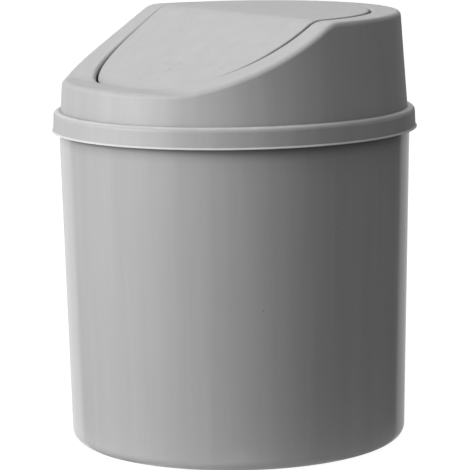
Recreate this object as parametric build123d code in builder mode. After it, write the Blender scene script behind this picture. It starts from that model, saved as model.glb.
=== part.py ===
"""Push top countertop bin: a round bucket, a lift-off lid and a gravity-closed push flap.

Millimetres, +Z up, front towards -Y, origin at the centre of the base on the worktop.
"""

from build123d import *
import os
from math import atan, cos, degrees, radians, sin, tan

os.makedirs("parts", exist_ok=True)

# ---- Bucket ----
body_height = 130.9
body_base_radius = 67.4
body_draft = 1.23            # degrees, wall leans outward going up
body_wall = 1.6
body_floor = 2.0
base_corner_radius = 4.5
foot_width = 6.0            # flat ring that touches the worktop
foot_recess = 1.2
rim_overhang = 0.8
rim_depth = 3.0
rim_edge_radius = 0.5

# ---- Lid: collar and wall ----
rim_clearance = 0.3         # collar to bucket rim, radially
collar_wall = 1.05
collar_drop = 5.4           # collar reaches this far below the bucket's rim
collar_shoulder_radius = 2.0
collar_flare = 2.5          # degrees, its outside leans outward going down
collar_lip_reach = 0.5      # turned-out lip round the collar's lower edge
collar_lip_height = 0.8
collar_lip_edge = 0.2       # upright part of the lip
shoulder_thickness = 2.8
collar_step = 3.05          # collar's outside, halfway up, to the foot of the lid wall
lid_wall_draft = 3.95       # degrees, wall leans inward going up
lid_wall = 1.8
lid_top_wall = 2.0
lid_edge_radius = 2.0
locating_clearance = 0.4    # locating ring to the bucket's inside
locating_wall = 1.6
locating_depth = 5.0

# ---- Lid: the top line, seen from the side ----
lip_rise = 14.8             # level lip at the front, above the bucket's rim
lower_bend_radius = 25.0
lower_bend_angle = 18.4
upper_bend_radius = 190.0
slope_angle = 33.6
crease_rise = 40.2          # where slope and plateau would meet, above the bucket's rim
crease_behind = 1.2         # the same place, behind the bin's axis
crease_radius = 11.0
plateau_angle = 0.4         # the rear top rises slightly to the back

# ---- Lid: opening ----
opening_margin = 11.8       # opening's edge to the lid's outside, level with the crease
lip_setback = 3.0           # opening's edge to the turned-down lip under it
opening_lip_wall = 1.8
opening_lip_depth = 9.0
opening_edge_radius = 1.4

# ---- Flap ----
flap_gap = 0.8              # flap to opening, radially
flap_wall = 1.6
flap_rise = 0.2             # flap's surface above the lid's, from the rear down to the slope
flap_bend_radius = 240.0    # bends sooner than the lid's slope, ends flatter, so its front lies deeper
flap_front_angle = 20.0
flap_edge_radius = 0.6
skirt_wall = 1.6
skirt_depth = 6.0
rib_offset = 25.0
rib_thickness = 1.2
rib_depth = 3.5
mark_height = 0.06          # barely raised
mark_stroke = 2.0
mark_corner_radius = 0.6
chevron_half_width = 9.0
chevron_sweep = 5.0         # how far the chevron's point runs ahead of its ends
chevron_margin = 8.0        # flap's front edge to the chevron's point
bar_half_width = 6.5
bar_offset = 20.0           # flap's front edge to the middle of the first bar
bar_pitch = 4.5
bar_count = 2

# ---- Hinge ----
pivot_forward = 3.0         # pivot axis in front of the bin's axis
pin_radius = 2.0
pin_running_clearance = 0.06
pin_head_overhang = 1.0
pin_head_thickness = 1.4
pin_tip_chamfer = 0.4
pin_seat_depth = 7.1        # pin's length inside the lid's boss
pin_end_clearance = 0.4     # pin's tip to the bottom of its hole
boss_wall = 1.2
axial_clearance = 0.4       # flap's ear to the boss's face
head_clearance = 0.2        # flap's ear to the pin's head
sheet_clearance = 0.3       # pin's head to the underside of the flap's sloping sheet
ear_wall = 2.94
ear_thickness = 3.0

# ---- Stops ----
flap_open_angle = 75.0
stop_finger_angle = 15.0    # degrees above level, pointing to the back from the pivot
stop_width = 2.0
stop_clearance = 0.8        # lug's inner end to the boss
stop_length = 3.0
stop_overlap = 1.6          # how far the lug reaches past the boss's face
stop_play = 1.0             # degrees left between lug and finger at full opening
ledge_half_width = 22.0
ledge_reach = 5.5
ledge_thickness = 2.0
ledge_clearance = 0.1

# ---- How shapes are joined and picked ----
root_depth = 0.8            # joined features run this far into the wall that carries them
spare = 10.0                # blanks reach this far past what is cut from them
pick_slack = 0.1            # edges are picked by place to within this


def body_radius(height):
    """Outer radius of the bucket's wall at a height."""
    return body_base_radius + height * tan(radians(body_draft))


rim_radius = body_radius(body_height) + rim_overhang
collar_inner = rim_radius + rim_clearance
collar_outer = collar_inner + collar_wall
collar_bottom = body_height - collar_drop
collar_top = body_height + shoulder_thickness
collar_middle = (collar_bottom + collar_top) / 2
lip_height = body_height + lip_rise
crease_height = body_height + crease_rise
blank_reach = collar_outer + spare
blank_top = crease_height + spare
locating_bottom = body_height - locating_depth
locating_outer = body_radius(locating_bottom) - body_wall - locating_clearance
locating_inner = locating_outer - locating_wall


def collar_radius(height):
    """Outer radius of the collar at a height."""
    return collar_outer + (collar_middle - height) * tan(radians(collar_flare))


def lid_radius(height):
    """Outer radius of the lid's wall at a height."""
    return collar_outer - collar_step - (height - collar_top) * tan(radians(lid_wall_draft))


opening_radius = lid_radius(crease_height) - opening_margin
lip_radius = opening_radius + lip_setback

# The top line is laid out forwards from the crease: a straight ramp, then bends, each with its radius
# and angle. The lid's two bends end at its level lip, and the flap has one wide bend.
lower_turn = radians(lower_bend_angle)
full_turn = radians(slope_angle)
bend_rise = lower_bend_radius * (1 - cos(lower_turn))
bend_rise += upper_bend_radius * (cos(lower_turn) - cos(full_turn))
ramp_rise = crease_height - lip_height - bend_rise
ramp_foot = crease_behind - ramp_rise / tan(full_turn)
crease_tangent = crease_radius * tan(radians(slope_angle - plateau_angle) / 2)
ramp_length = ramp_rise / sin(full_turn) - crease_tangent
lid_bends = (
    (upper_bend_radius, slope_angle - lower_bend_angle),
    (lower_bend_radius, lower_bend_angle),
)
flap_bends = ((flap_bend_radius, slope_angle - flap_front_angle),)

flap_radius = opening_radius - flap_gap
pin_head_radius = pin_radius + pin_head_overhang
pivot_depth = flap_wall + sheet_clearance + pin_head_radius - flap_rise
pivot_y = -pivot_forward
pivot_height = crease_height - (crease_behind + pivot_forward) * tan(full_turn)
pivot_height -= pivot_depth / cos(full_turn)
boss_radius = pin_radius + boss_wall
ear_radius = pin_radius + pin_running_clearance + ear_wall
stop_start = boss_radius + stop_clearance
ear_inner = flap_radius - ear_thickness
boss_face = flap_radius + axial_clearance


def below_top(depth, bends=lid_bends):
    """Side section of everything below a line that runs parallel to the lid's top at a depth."""
    uphill = Vector(cos(full_turn), sin(full_turn))
    foot = Vector(ramp_foot, crease_height - ramp_rise)
    foot += Vector(sin(full_turn), -cos(full_turn)) * depth
    with BuildSketch(Plane.YZ) as region:
        with BuildLine():
            ramp = Line(foot, foot + uphill * ramp_length)
            crease = JernArc(ramp @ 1, ramp % 1, crease_radius - depth, plateau_angle - slope_angle)
            plateau = Line(crease @ 1, crease @ 1 + (crease % 1) * blank_reach)
            end = foot
            heading = uphill * -1
            for radius, angle in bends:
                bend = JernArc(end, heading, radius + depth, -angle)
                end = bend @ 1
                heading = bend % 1
            front = Line(end, end + heading * blank_reach)
            Polyline(plateau @ 1, ((plateau @ 1).X, 0), ((front @ 1).X, 0), front @ 1)
        make_face()
    return region.sketch


def below_flap(depth):
    """The same section for the flap's own top line."""
    return below_top(depth - flap_rise, flap_bends)


def side_plane(distance):
    """Side plane on the right, at a distance from the middle, centred on the pivot axis."""
    return Plane(origin=(distance, pivot_y, pivot_height), x_dir=(0, 1, 0), z_dir=(1, 0, 0))


def radius_of(edge):
    """Distance of an edge's middle from the bin's axis."""
    middle = edge @ 0.5
    return (middle.X**2 + middle.Y**2) ** 0.5


def curved_edges_above(part, height):
    """Edges that bend and lie wholly above a height."""
    bent = part.edges().filter_by(GeomType.LINE, reverse=True)
    return bent.filter_by(lambda edge: edge.bounding_box().min.Z > height)


# ---- bin_body: tapered bucket with a turned-out rim and a recessed base ----
foot_outer = body_base_radius - base_corner_radius
foot_inner = foot_outer - foot_width
rim_bottom = body_height - rim_depth
floor_top = foot_recess + body_floor
with BuildPart() as bin_body:
    with BuildSketch(Plane.XZ):
        with BuildLine():
            Polyline(
                (0, foot_recess),
                (foot_inner - foot_recess, foot_recess),
                (foot_inner, 0),
                (body_base_radius, 0),
                (body_radius(rim_bottom), rim_bottom),
                (rim_radius, rim_bottom),
                (rim_radius, body_height),
                (body_radius(body_height) - body_wall, body_height),
                (body_radius(floor_top) - body_wall, floor_top),
                (0, floor_top),
                close=True,
            )
        make_face()
    revolve(axis=Axis.Z)
    circles = bin_body.edges().filter_by(GeomType.CIRCLE)
    base_circles = circles.filter_by_position(Axis.Z, -pick_slack, pick_slack)
    floor_circles = circles.filter_by_position(Axis.Z, floor_top - pick_slack, floor_top + pick_slack)
    fillet(base_circles.sort_by(SortBy.RADIUS)[-1], base_corner_radius)
    fillet(floor_circles.sort_by(SortBy.RADIUS)[-1], base_corner_radius - body_wall)
    fillet(circles.filter_by(lambda edge: edge.radius > rim_radius - pick_slack), rim_edge_radius)
bin_body.part.label = "bin_body"
export_step(bin_body.part, "parts/bin_body.step")


# ---- Shapes that the lid is made from ----
with BuildPart() as opening_lip:
    with BuildSketch(Plane.XY.offset(collar_top)):
        Circle(lip_radius + opening_lip_wall)
        Circle(lip_radius, mode=Mode.SUBTRACT)
    extrude(amount=blank_top - collar_top)
    extrude(below_top(opening_lip_depth), amount=blank_reach, both=True, mode=Mode.SUBTRACT)

with BuildPart() as lid_cavity:
    with BuildSketch(Plane.XZ):
        with BuildLine():
            Polyline(
                (0, 0),
                (locating_inner, 0),
                (locating_inner, collar_top),
                (lid_radius(collar_top) - lid_wall, collar_top),
                (lid_radius(blank_top) - lid_wall, blank_top),
                (0, blank_top),
                close=True,
            )
        make_face()
    revolve(axis=Axis.Z)
    extrude(below_top(lid_top_wall), amount=blank_reach, both=True, mode=Mode.INTERSECT)
    fillet(curved_edges_above(lid_cavity, collar_top + pick_slack), lid_edge_radius - lid_wall)
    add(opening_lip.part, mode=Mode.SUBTRACT)

# Boss for the right-hand pin. It hangs from the lid's top on a web, and carries the finger that
# stops the flap's lug at full opening.
boss_end = lid_radius(pivot_height) - lid_wall + root_depth
with BuildPart() as pin_boss:
    with BuildSketch(side_plane(lip_radius)):
        Rectangle(2 * boss_radius, blank_top - pivot_height, align=(Align.CENTER, Align.MIN))
    extrude(amount=boss_end - lip_radius)
    extrude(below_top(lid_top_wall - root_depth), amount=blank_reach, both=True, mode=Mode.INTERSECT)
    with BuildSketch(side_plane(boss_face)):
        Circle(boss_radius)
    extrude(amount=boss_end - boss_face)
    with BuildSketch(side_plane(boss_face)):
        with PolarLocations(0, 1, start_angle=stop_finger_angle):
            Rectangle(stop_start + stop_length, stop_width, align=(Align.MIN, Align.CENTER))
    extrude(amount=lip_radius + root_depth - boss_face)

# Shelf under the flap's rear skirt, which the closed flap rests on.
with BuildPart() as rear_ledge:
    with BuildSketch(Plane.XY.offset(collar_top)):
        Circle(lip_radius + root_depth)
        Circle(lip_radius - ledge_reach, mode=Mode.SUBTRACT)
        Rectangle(
            2 * ledge_half_width,
            blank_reach,
            align=(Align.CENTER, Align.MIN),
            mode=Mode.INTERSECT,
        )
    extrude(amount=blank_top - collar_top)
    extrude(below_flap(skirt_depth + ledge_clearance), amount=blank_reach, both=True, mode=Mode.INTERSECT)
    extrude(
        below_flap(skirt_depth + ledge_clearance + ledge_thickness),
        amount=blank_reach,
        both=True,
        mode=Mode.SUBTRACT,
    )


# ---- lid_housing: collar, wall, sloping top, opening with a turned-down lip, bosses and ledge ----
collar_lip_radius = collar_radius(collar_bottom) + collar_lip_reach
collar_lip_top = collar_bottom + collar_lip_height
with BuildPart() as lid_housing:
    with BuildSketch(Plane.XZ):
        with BuildLine():
            Polyline(
                (0, locating_bottom),
                (locating_outer, locating_bottom),
                (locating_outer, body_height),
                (collar_inner, body_height),
                (collar_inner, collar_bottom),
                (collar_lip_radius, collar_bottom),
                (collar_lip_radius, collar_bottom + collar_lip_edge),
                (collar_radius(collar_lip_top), collar_lip_top),
                (collar_radius(collar_top), collar_top),
                (lid_radius(collar_top), collar_top),
                (lid_radius(blank_top), blank_top),
                (0, blank_top),
                close=True,
            )
        make_face()
    revolve(axis=Axis.Z)
    extrude(below_top(0), amount=blank_reach, both=True, mode=Mode.INTERSECT)
    fillet(curved_edges_above(lid_housing, collar_top + pick_slack), lid_edge_radius)
    with BuildSketch():
        Circle(opening_radius)
    extrude(amount=blank_top, mode=Mode.SUBTRACT)
    loops = curved_edges_above(lid_housing, collar_top + pick_slack)
    loops = loops.filter_by(lambda edge: abs(radius_of(edge) - opening_radius) < pick_slack)
    fillet(loops, opening_edge_radius)
    add(lid_cavity.part, mode=Mode.SUBTRACT)
    circles = lid_housing.edges().filter_by(GeomType.CIRCLE)
    collar_circles = circles.filter_by(lambda edge: edge.radius > collar_inner + pick_slack)
    fillet(collar_circles.sort_by(Axis.Z)[-1], collar_shoulder_radius)
    add(rear_ledge.part)
    add(pin_boss.part)
    mirror(pin_boss.part, about=Plane.YZ)
    with BuildSketch(side_plane(0)):
        Circle(pin_radius)
    extrude(amount=boss_face + pin_seat_depth + pin_end_clearance, both=True, mode=Mode.SUBTRACT)
lid_housing.part.label = "lid_housing"
export_step(lid_housing.part, "parts/lid_housing.step")


# ---- Shapes that the flap is made from ----
with BuildPart() as flap_hollow:
    with BuildSketch():
        Circle(flap_radius - skirt_wall)
    extrude(amount=blank_top)
    extrude(below_flap(flap_wall), amount=blank_reach, both=True, mode=Mode.INTERSECT)

with BuildPart() as flap_ribs:
    with BuildSketch():
        Circle(flap_radius - skirt_wall + root_depth)
        with GridLocations(2 * rib_offset, 0, 2, 1):
            Rectangle(rib_thickness, 2 * flap_radius, mode=Mode.INTERSECT)
    extrude(amount=blank_top)
    extrude(below_flap(flap_wall - root_depth), amount=blank_reach, both=True, mode=Mode.INTERSECT)
    extrude(below_flap(flap_wall + rib_depth), amount=blank_reach, both=True, mode=Mode.SUBTRACT)

# Right-hand ear: a rounded plate that hangs from the flap around the pivot, with the stop lug.
stop_contact_angle = 2 * degrees(atan(stop_width / 2 / stop_start))
stop_lug_angle = stop_finger_angle - flap_open_angle - stop_contact_angle - stop_play
with BuildPart() as flap_ear:
    with BuildSketch(side_plane(ear_inner)):
        Circle(ear_radius)
        Rectangle(2 * ear_radius, blank_top - pivot_height, align=(Align.CENTER, Align.MIN))
    extrude(amount=opening_radius - ear_inner)
    extrude(below_flap(flap_wall - root_depth), amount=blank_reach, both=True, mode=Mode.INTERSECT)
    with BuildSketch():
        Circle(flap_radius)
    extrude(amount=blank_top, mode=Mode.INTERSECT)
    with BuildSketch(side_plane(ear_inner)):
        with PolarLocations(0, 1, start_angle=stop_lug_angle):
            with Locations((stop_start, 0)):
                Rectangle(stop_length, stop_width, align=(Align.MIN, Align.CENTER))
    extrude(amount=boss_face + stop_overlap - ear_inner)

# Raised marks on the slope: a chevron that points at the edge to push, and bars behind it.
chevron_front = chevron_margin - flap_radius
chevron_end = chevron_front + chevron_sweep
with BuildPart() as flap_marks:
    with BuildSketch():
        with BuildLine():
            Polyline(
                (0, chevron_front),
                (chevron_half_width, chevron_end),
                (chevron_half_width, chevron_end + mark_stroke),
                (0, chevron_front + mark_stroke),
                (-chevron_half_width, chevron_end + mark_stroke),
                (-chevron_half_width, chevron_end),
                close=True,
            )
        make_face()
        for index in range(bar_count):
            with Locations((0, bar_offset - flap_radius + index * bar_pitch)):
                RectangleRounded(2 * bar_half_width, mark_stroke, mark_corner_radius)
    extrude(amount=blank_top)
    extrude(below_flap(-mark_height), amount=blank_reach, both=True, mode=Mode.INTERSECT)
    extrude(below_flap(flap_wall - root_depth), amount=blank_reach, both=True, mode=Mode.SUBTRACT)


# ---- push_flap: bent round flap with a skirt, two ribs and two hinge ears ----
with BuildPart() as push_flap:
    with BuildSketch():
        Circle(flap_radius)
    extrude(amount=blank_top)
    extrude(below_flap(0), amount=blank_reach, both=True, mode=Mode.INTERSECT)
    fillet(curved_edges_above(push_flap, collar_top), flap_edge_radius)
    extrude(below_flap(skirt_depth), amount=blank_reach, both=True, mode=Mode.SUBTRACT)
    add(flap_hollow.part, mode=Mode.SUBTRACT)
    add(flap_ribs.part)
    add(flap_ear.part)
    mirror(flap_ear.part, about=Plane.YZ)
    add(flap_marks.part)
    with BuildSketch(side_plane(0)):
        Circle(pin_radius + pin_running_clearance)
    extrude(amount=opening_radius, both=True, mode=Mode.SUBTRACT)
push_flap.part.label = "push_flap"
export_step(push_flap.part, "parts/push_flap.step")


# ---- pivot pins: headed stubs pressed outwards through the ears into the bosses ----
head_face = ear_inner - head_clearance - pin_head_thickness
with BuildPart() as pivot_pin_right:
    with BuildSketch(side_plane(head_face)):
        Circle(pin_head_radius)
    extrude(amount=pin_head_thickness)
    with BuildSketch(side_plane(head_face)):
        Circle(pin_radius)
    extrude(amount=boss_face + pin_seat_depth - head_face)
    chamfer(pivot_pin_right.edges().sort_by(Axis.X)[-1], pin_tip_chamfer)
pivot_pin_right.part.label = "pivot_pin_right"
export_step(pivot_pin_right.part, "parts/pivot_pin_right.step")

with BuildPart() as pivot_pin_left:
    mirror(pivot_pin_right.part, about=Plane.YZ)
pivot_pin_left.part.label = "pivot_pin_left"
export_step(pivot_pin_left.part, "parts/pivot_pin_left.step")
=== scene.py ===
"""Push top countertop bin: finishes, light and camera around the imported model. Metres, +Z up, front -Y."""

import math

import bpy
from mathutils import Matrix, Vector


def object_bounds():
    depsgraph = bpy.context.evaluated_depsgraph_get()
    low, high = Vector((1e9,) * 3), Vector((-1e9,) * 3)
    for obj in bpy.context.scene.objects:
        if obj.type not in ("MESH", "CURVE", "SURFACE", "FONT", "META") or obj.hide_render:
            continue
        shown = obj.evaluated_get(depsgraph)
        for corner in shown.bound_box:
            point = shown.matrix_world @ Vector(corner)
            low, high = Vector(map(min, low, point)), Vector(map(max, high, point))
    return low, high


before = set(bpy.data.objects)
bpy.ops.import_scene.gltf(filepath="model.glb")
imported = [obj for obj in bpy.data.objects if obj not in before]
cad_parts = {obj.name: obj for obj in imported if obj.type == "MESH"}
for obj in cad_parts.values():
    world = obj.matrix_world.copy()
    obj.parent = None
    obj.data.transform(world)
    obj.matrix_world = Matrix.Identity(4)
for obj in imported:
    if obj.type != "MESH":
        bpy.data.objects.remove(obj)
cad_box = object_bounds()

# ---- Camera ----
CAMERA_AZIMUTH = 56.87       # degrees, round the bin from its front
CAMERA_DISTANCE = 1.050      # from the bin's axis, along the floor
CAMERA_HEIGHT = 0.25216
CAMERA_YAW = 0.021           # degrees it looks to the left of the bin's axis
CAMERA_PITCH = 9.231         # degrees down
CAMERA_ROLL = -0.836         # degrees
CAMERA_LENS = 201.88         # for a sensor 36 mm wide
SENSOR_WIDTH = 36.0

# ---- Lamps: degrees to the right of the camera, degrees above the horizon, side in metres, watts ----
LAMP_DISTANCE = 1.0
LAMPS = {
    "key": (-65.0, 18.0, 0.6, 9.4),
    "top": (0.0, 90.0, 0.8, 2.2),
    "front": (12.0, 50.0, 0.8, 1.4),
    "rear": (180.0, 35.0, 0.8, 1.6),
}

# ---- Surroundings: a white sweep behind the bin, and a darker room to the sides and in front ----
SWEEP_MIDDLE = 181.9         # degrees to the right of the camera, so it lies just left of straight behind
SWEEP_HALF_ANGLE = 41.4      # degrees, either side of that
SWEEP_START = 0.097          # on the floor it starts this far in front of the bin's axis
SWEEP_LEFT = 0.85            # how bright its left end is in reflections
SWEEP_RIGHT = 0.50           # and its right end
SWEEP_BLUR = 1.0             # degrees over which its edge fades
ROOM_LEVEL = 0.06            # how bright the rest is in reflections
WORLD_STRENGTH = 0.11        # what the surroundings add to the light on the bin
FLOOR_COLOUR = 0.25          # how much light the floor throws back
FLOOR_GLOW = 0.94            # the floor's own white near the bin, before the lamps light it
GLOW_NEAR = 0.25             # from the bin's axis, where that starts to rise to full white
GLOW_FAR = 0.90
FLOOR_BOUNCE = 0.24          # what the white floor close to the bin throws back on it
BOUNCE_NEAR = 0.075          # from the bin's axis, where that is at its full level
BOUNCE_FAR = 0.095           # and where it ends
FLOOR_SIZE = 6.0

# ---- Plastics: linear grey, roughness, grain per metre, grain depth in metres, strength of the painted shade in the gaps ----
LID_PLASTIC = (0.50, 0.50, 2600.0, 0.00004, 0.4)
BIN_PLASTIC = (0.49, 0.16, 1800.0, 0.000004, 1.2)
PIN_PLASTIC = (0.58, 0.35, 3000.0, 0.00001, 0.4)
GRAIN_STRENGTH = 0.6
GLOSS_SPREAD = 0.04          # either side of a plastic's roughness

# ---- Marks in the plastic, and painted highlights and shade ----
CLOUD_SCALE = 18.0           # faint clouds, per metre
CLOUD_DETAIL = 3.0
CLOUD_SPREAD = 0.04          # how much darker and paler they go
STREAK_SCALE = 140.0         # flow streaks, per metre across
STREAK_STRETCH = (1.0, 1.0, 0.04)
STREAK_DETAIL = (4.0, 0.65)  # detail and roughness of the noise
STREAK_SPREAD = 0.11
DUST_SCALE = 60.0            # dust specks, about this many per metre
DUST_SIZE = 0.03             # as a share of the distance between specks
DUST_TONE = 0.5
PAINTED_HIGHLIGHT_RINGS = (               # radius, height, distance from that ring where it ends, and how much paler the painted highlight makes it
    (0.0730, 0.1257, 0.0008, 1.50),    # painted highlight along the collar's thin lower lip
    (0.0709, 0.1335, 0.0012, 1.30),    # painted highlight along the collar's shoulder
)
PAINTED_SHADE_REACH = 0.006           # painted shade: the plastic is darkened where another surface stands this close
PAINTED_SHADE_FOOT = 0.10             # but not below this height


# ---------------------------------------------------------------- materials
class Nodes:
    """Short calls for building the nodes of a material or of the world."""

    def __init__(self, owner):
        self.owner = owner
        owner.use_nodes = True
        self.tree = owner.node_tree
        self.tree.nodes.clear()

    def add(self, kind, inputs=None, **settings):
        node = self.tree.nodes.new(kind)
        for key, value in settings.items():
            setattr(node, key, value)
        for key, value in (inputs or {}).items():
            self.feed(node.inputs[key], value)
        return node

    def feed(self, socket, value):
        if isinstance(value, bpy.types.NodeSocket):
            self.tree.links.new(value, socket)
        else:
            socket.default_value = value

    def math(self, operation, a, b=0.0):
        node = self.add("ShaderNodeMath", {0: a, 1: b}, operation=operation)
        return node.outputs[0]

    def noise(self, vector, scale, detail=2.0, roughness=0.5):
        inputs = {"Vector": vector, "Scale": scale, "Detail": detail, "Roughness": roughness}
        return self.add("ShaderNodeTexNoise", inputs).outputs["Fac"]

    def spread(self, value, low, high):
        """A value from 0 to 1, spread from low to high."""
        node = self.add("ShaderNodeMapRange", {"Value": value, "To Min": low, "To Max": high})
        return node.outputs["Result"]


def painted_highlight_tone(n, place, rings):
    """Painted highlight: paler along the level rings that are given."""
    height = n.add("ShaderNodeSeparateXYZ", {0: place}).outputs["Z"]
    across = n.add("ShaderNodeVectorMath", {0: place, 1: (1, 1, 0)}, operation="MULTIPLY").outputs[0]
    radius = n.add("ShaderNodeVectorMath", {0: across}, operation="LENGTH").outputs["Value"]
    tone = 1.0
    for ring_radius, ring_height, reach, paler in rings:
        gap = n.add("ShaderNodeCombineXYZ", {0: n.math("SUBTRACT", radius, ring_radius)})
        n.feed(gap.inputs[1], n.math("SUBTRACT", height, ring_height))
        distance = n.add("ShaderNodeVectorMath", {0: gap.outputs[0]}, operation="LENGTH").outputs["Value"]
        fade = {"Value": distance, "From Min": reach, "From Max": reach / 2}
        near = n.add("ShaderNodeMapRange", fade).outputs["Result"]
        tone = n.math("MULTIPLY", n.spread(near, 1.0, paler), tone)
    return tone


def painted_shade_tone(n, place, power):
    """Painted shade: darker in the creases and gaps, and under the collar."""
    height = n.add("ShaderNodeSeparateXYZ", {0: place}).outputs["Z"]
    open_share = n.add("ShaderNodeAmbientOcclusion", {"Distance": PAINTED_SHADE_REACH}).outputs["AO"]
    tone = n.math("POWER", open_share, power)
    return n.math("MAXIMUM", tone, n.math("LESS_THAN", height, PAINTED_SHADE_FOOT))


def moulded_plastic(name, plastic, rings=()):
    """Moulded plastic: faint clouds, flow streaks and dust, painted shade in the gaps, painted highlights
    along the given rings, uneven gloss, and a fine surface grain.
    """
    grey, roughness, grain, grain_depth, painted_shade_power = plastic
    n = Nodes(bpy.data.materials.new(name))
    place = n.add("ShaderNodeTexCoord").outputs["Object"]
    clouds = n.noise(place, CLOUD_SCALE, CLOUD_DETAIL)
    drawn = n.add("ShaderNodeVectorMath", {0: place, 1: STREAK_STRETCH}, operation="MULTIPLY")
    streaks = n.noise(drawn.outputs[0], STREAK_SCALE, *STREAK_DETAIL)
    cells = n.add("ShaderNodeTexVoronoi", {"Vector": place, "Scale": DUST_SCALE}).outputs["Distance"]
    dust = {"Value": cells, "From Max": DUST_SIZE, "To Min": DUST_TONE, "To Max": 1.0}
    dust = n.add("ShaderNodeMapRange", dust).outputs["Result"]
    cloud_tone = n.spread(clouds, 1 - CLOUD_SPREAD, 1 + CLOUD_SPREAD)
    streak_tone = n.spread(streaks, 1 - STREAK_SPREAD, 1 + STREAK_SPREAD)
    tone = n.math("MULTIPLY", cloud_tone, streak_tone)
    tone = n.math("MULTIPLY", tone, dust)
    # painted shade: darker in the creases and gaps and under the collar
    tone = n.math("MULTIPLY", tone, painted_shade_tone(n, place, painted_shade_power))
    # painted highlights: paler along the given rings
    tone = n.math("MULTIPLY", tone, painted_highlight_tone(n, place, rings))
    colour = n.add("ShaderNodeCombineColor", {0: n.math("MULTIPLY", tone, grey)})
    for channel in (1, 2):
        n.feed(colour.inputs[channel], n.math("MULTIPLY", tone, grey))
    gloss = n.spread(clouds, roughness - GLOSS_SPREAD, roughness + GLOSS_SPREAD)
    fine = n.noise(place, grain)
    bump = n.add("ShaderNodeBump", {"Height": fine, "Distance": grain_depth, "Strength": GRAIN_STRENGTH})
    shader = n.add("ShaderNodeBsdfPrincipled", {
        "Base Color": colour.outputs[0],
        "Roughness": gloss,
        "Normal": bump.outputs[0],
    })
    out = n.add("ShaderNodeOutputMaterial")
    n.feed(out.inputs["Surface"], shader.outputs[0])
    return n.owner


def sweep_level(n, towards):
    """How bright the sweep behind the bin is in a direction from the bin, and 0 beside the sweep."""
    flat = n.add("ShaderNodeVectorMath", {0: towards, 1: (1, 1, 0)}, operation="MULTIPLY")
    level = n.add("ShaderNodeVectorMath", {0: flat.outputs[0]}, operation="NORMALIZE").outputs[0]
    behind = {0: level, 1: direction(SWEEP_MIDDLE, 0.0)}
    facing = n.add("ShaderNodeVectorMath", behind, operation="DOT_PRODUCT").outputs["Value"]
    outer, inner = (math.cos(math.radians(SWEEP_HALF_ANGLE + s * SWEEP_BLUR / 2)) for s in (1, -1))
    limits = {"Value": facing, "From Min": outer, "From Max": inner}
    mask = n.add("ShaderNodeMapRange", limits, interpolation_type="SMOOTHSTEP").outputs["Result"]
    leftward = {0: level, 1: direction(SWEEP_MIDDLE + 90.0, 0.0)}
    side = n.add("ShaderNodeVectorMath", leftward, operation="DOT_PRODUCT").outputs["Value"]
    reach = math.sin(math.radians(SWEEP_HALF_ANGLE))
    ends = {"From Min": -reach, "From Max": reach, "To Min": SWEEP_RIGHT, "To Max": SWEEP_LEFT}
    shade = n.add("ShaderNodeMapRange", {"Value": side, **ends}).outputs["Result"]
    return n.math("MULTIPLY", mask, shade)


def shown_level(n, towards, lighting):
    """White to the camera, the sweep and the room to reflections, and a low level as a light."""
    path = n.add("ShaderNodeLightPath")
    seen = n.math("MAXIMUM", path.outputs["Is Camera Ray"], path.outputs["Is Transmission Ray"])
    mirrored = n.math("MAXIMUM", sweep_level(n, towards), ROOM_LEVEL)
    mirrored = n.math("MULTIPLY", mirrored, path.outputs["Is Glossy Ray"])
    level = n.math("MAXIMUM", seen, mirrored)
    return n.math("MAXIMUM", level, lighting)


def floor_material():
    """Pale floor: it shows white with the bin's shadow, and throws light back up close to the bin."""
    n = Nodes(bpy.data.materials.new("floor_pale"))
    place = n.add("ShaderNodeTexCoord").outputs["Object"]
    matt = n.add("ShaderNodeBsdfDiffuse", {"Color": (FLOOR_COLOUR,) * 3 + (1.0,)})
    reach = n.add("ShaderNodeVectorMath", {0: place}, operation="LENGTH").outputs["Value"]
    fade = {"Value": reach, "From Min": BOUNCE_FAR, "From Max": BOUNCE_NEAR, "To Max": FLOOR_BOUNCE}
    bounce = n.add("ShaderNodeMapRange", fade).outputs["Result"]
    rise = {"Value": reach, "From Min": GLOW_NEAR, "From Max": GLOW_FAR, "To Min": FLOOR_GLOW}
    white = n.add("ShaderNodeMapRange", rise).outputs["Result"]
    moved = {0: place, 1: direction(SWEEP_MIDDLE, 0.0) * SWEEP_START}
    towards = n.add("ShaderNodeVectorMath", moved, operation="ADD").outputs[0]
    level = n.math("MULTIPLY", shown_level(n, towards, bounce), white)
    glow = n.add("ShaderNodeEmission", {"Strength": level})
    both = n.add("ShaderNodeAddShader", {0: matt.outputs[0], 1: glow.outputs[0]})
    out = n.add("ShaderNodeOutputMaterial")
    n.feed(out.inputs["Surface"], both.outputs[0])
    return n.owner


def finish_object():
    """Gives every piece of the bin its plastic."""
    # the lid's plastic carries the painted highlights on the collar's lip and shoulder
    lid = moulded_plastic("lid_plastic", LID_PLASTIC, PAINTED_HIGHLIGHT_RINGS)
    bucket = moulded_plastic("bin_plastic", BIN_PLASTIC)
    pin = moulded_plastic("pin_plastic", PIN_PLASTIC)
    finishes = {
        "bin_body": bucket,
        "lid_housing": lid,
        "push_flap": lid,
        "pivot_pin_left": pin,
        "pivot_pin_right": pin,
    }
    for node, material in finishes.items():
        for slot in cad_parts[node].material_slots:
            slot.link = "OBJECT"
            slot.material = material


# ---------------------------------------------------------------- stage
def add_floor():
    mesh = bpy.data.meshes.new("floor")
    half = FLOOR_SIZE / 2
    corners = [(-half, -half, 0), (half, -half, 0), (half, half, 0), (-half, half, 0)]
    mesh.from_pydata(corners, [], [(0, 1, 2, 3)])
    mesh.materials.append(floor_material())
    floor = bpy.data.objects.new("floor", mesh)
    bpy.context.scene.collection.objects.link(floor)


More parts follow.
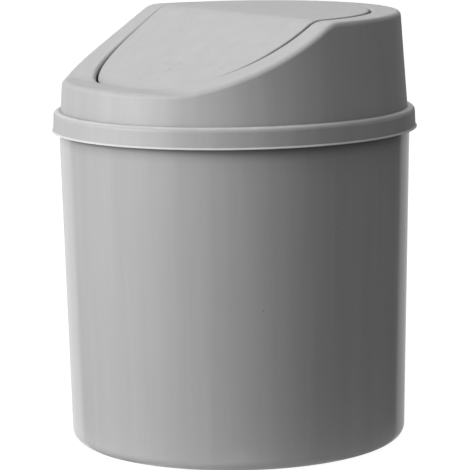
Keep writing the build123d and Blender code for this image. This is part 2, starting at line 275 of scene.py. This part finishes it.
def set_world():
    world = bpy.data.worlds.new("studio")
    n = Nodes(world)
    towards = n.add("ShaderNodeTexCoord").outputs["Generated"]
    strength = {"Strength": shown_level(n, towards, WORLD_STRENGTH)}
    back = n.add("ShaderNodeBackground", strength)
    out = n.add("ShaderNodeOutputWorld")
    n.feed(out.inputs["Surface"], back.outputs[0])
    world.cycles.sampling_method = "NONE"
    bpy.context.scene.world = world


def direction(side, rise):
    """Unit vector from the bin towards a place beside the camera's direction."""
    a, e = math.radians(CAMERA_AZIMUTH + side), math.radians(rise)
    return Vector((math.sin(a) * math.cos(e), -math.cos(a) * math.cos(e), math.sin(e)))


def add_lights(centre):
    """Square softboxes round the bin, out of the camera's sight."""
    for name, (side, rise, size, power) in LAMPS.items():
        light = bpy.data.lights.new(name, "AREA")
        light.size = size
        light.energy = power
        lamp = bpy.data.objects.new(name, light)
        away = direction(side, rise)
        lamp.location = centre + away * LAMP_DISTANCE
        lamp.rotation_mode = "QUATERNION"
        lamp.rotation_quaternion = (-away).to_track_quat("-Z", "Y")
        lamp.visible_camera = False
        bpy.context.scene.collection.objects.link(lamp)


def add_camera():
    """The camera stands level with the photograph's, pitched down and rolled a little."""
    a, yaw, pitch, roll = (
        math.radians(v) for v in (CAMERA_AZIMUTH, CAMERA_YAW, CAMERA_PITCH, CAMERA_ROLL))
    aim = a + yaw
    forward = Vector((-math.sin(aim) * math.cos(pitch), math.cos(aim) * math.cos(pitch), -math.sin(pitch)))
    level = Vector((math.cos(aim), math.sin(aim), 0))
    upright = level.cross(forward)
    right = math.cos(roll) * level + math.sin(roll) * upright
    up = math.cos(roll) * upright - math.sin(roll) * level
    data = bpy.data.cameras.new("camera")
    data.sensor_width = SENSOR_WIDTH
    data.lens = CAMERA_LENS
    camera = bpy.data.objects.new("camera", data)
    turn = Matrix((right, up, -forward)).transposed().to_4x4()
    place = Vector((math.sin(a) * CAMERA_DISTANCE, -math.cos(a) * CAMERA_DISTANCE, CAMERA_HEIGHT))
    camera.matrix_world = Matrix.Translation(place) @ turn
    bpy.context.scene.collection.objects.link(camera)
    bpy.context.scene.camera = camera


bpy.context.scene.view_settings.view_transform = "Standard"
finish_object()
add_floor()
set_world()
add_lights((cad_box[0] + cad_box[1]) / 2)
add_camera()
